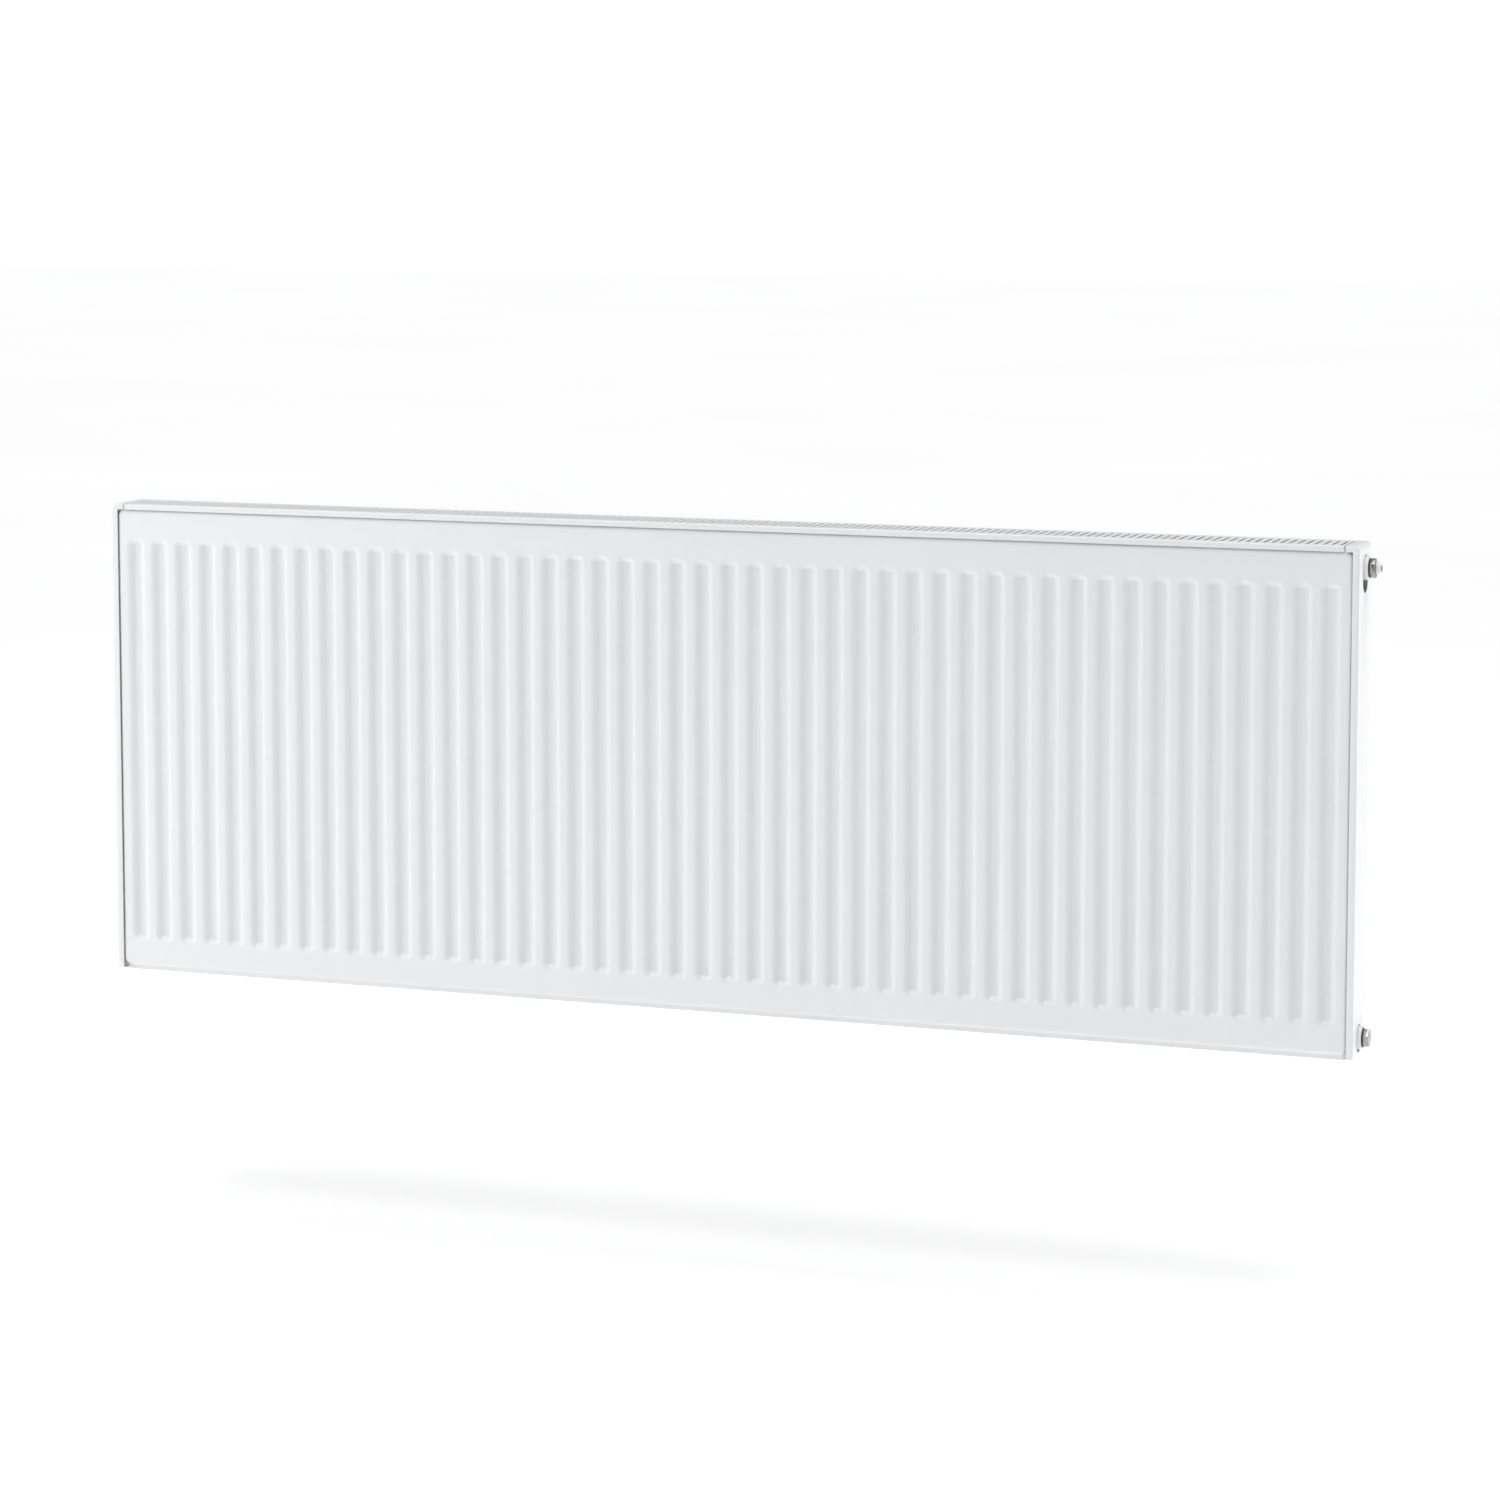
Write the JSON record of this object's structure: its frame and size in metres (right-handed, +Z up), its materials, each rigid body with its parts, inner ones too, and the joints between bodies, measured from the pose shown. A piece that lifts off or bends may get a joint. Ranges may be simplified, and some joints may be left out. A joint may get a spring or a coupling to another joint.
{
  "type": "panel radiator",
  "caption": "Wall-hung steel panel radiator: fluted double water panel with a convector, slotted top grille, clip-on side covers, air vent and corner sockets.",
  "frame": {"origin": "middle of the four hanging lugs, on the plane where they rest against the wall brackets", "axes": "+X along the length towards the vented end, +Y towards the wall, +Z up; the fluted front faces -Y"},
  "size_m": [1.6235, 0.078, 0.6],
  "materials": {
    "white_enamel": "satin white powder coat, RAL 9016",
    "white_plastic": "matt white moulded plastic",
    "nickel_plate": "bright nickel-plated brass",
    "screw_steel": "plain turned steel",
    "black_rubber": "black rubber"
  },
  "bodies": {
    "radiator": {"front_panel_face_sheet": "white_enamel", "front_panel_back_sheet": "white_enamel", "rear_panel_front_sheet": "white_enamel", "rear_panel_wall_sheet": "white_enamel", "convector": "white_enamel", "lower_left_tee": "white_enamel", "upper_left_tee": "white_enamel", "lower_right_tee": "white_enamel", "upper_right_tee": "white_enamel", "lower_left_lug": "white_enamel", "upper_left_lug": "white_enamel", "lower_right_lug": "white_enamel", "upper_right_lug": "white_enamel", "grille_clips": "white_plastic", "left_cover_clips": "white_plastic", "right_cover_clips": "white_plastic", "blanking_plug": "nickel_plate", "blanking_plug_seal": "black_rubber", "vent_plug": "nickel_plate", "vent_plug_seal": "black_rubber"},
    "left_cover": {"left_side_cover": "white_enamel"},
    "right_cover": {"right_side_cover": "white_enamel"},
    "grille": {"top_grille": "white_enamel"},
    "nozzle": {"vent_nozzle": "white_plastic"},
    "screw_seal": {"bleed_screw_seal": "black_rubber"},
    "screw": {"bleed_screw": "screw_steel"}
  },
  "joints": [
    {"name": "grille_lift", "type": "slide", "parent": "radiator", "child": "grille", "axis": [0, 0, 1], "range_m": [0, 0.06]},
    {"name": "left_cover_pull", "type": "slide", "parent": "radiator", "child": "left_cover", "axis": [-1, 0, 0], "range_m": [0, 0.06]},
    {"name": "right_cover_pull", "type": "slide", "parent": "radiator", "child": "right_cover", "axis": [1, 0, 0], "range_m": [0, 0.06]},
    {"name": "nozzle_swivel", "type": "hinge", "parent": "radiator", "child": "nozzle", "pos_m": [0.815, -0.043, 0.272], "axis": [1, 0, 0], "continuous": true},
    {"name": "bleed_screw_travel", "type": "slide", "parent": "radiator", "child": "screw_seal", "axis": [1, 0, 0], "range_m": [0, 0.001]},
    {"name": "bleed_screw_turn", "type": "hinge", "parent": "screw_seal", "child": "screw", "pos_m": [0.81, -0.043, 0.272], "axis": [1, 0, 0], "range_deg": [0, 360]}
  ],
  "couplings": [
    {"joint": "bleed_screw_turn", "follows": "bleed_screw_travel", "rad_per_m": 6283.2}
  ]
}
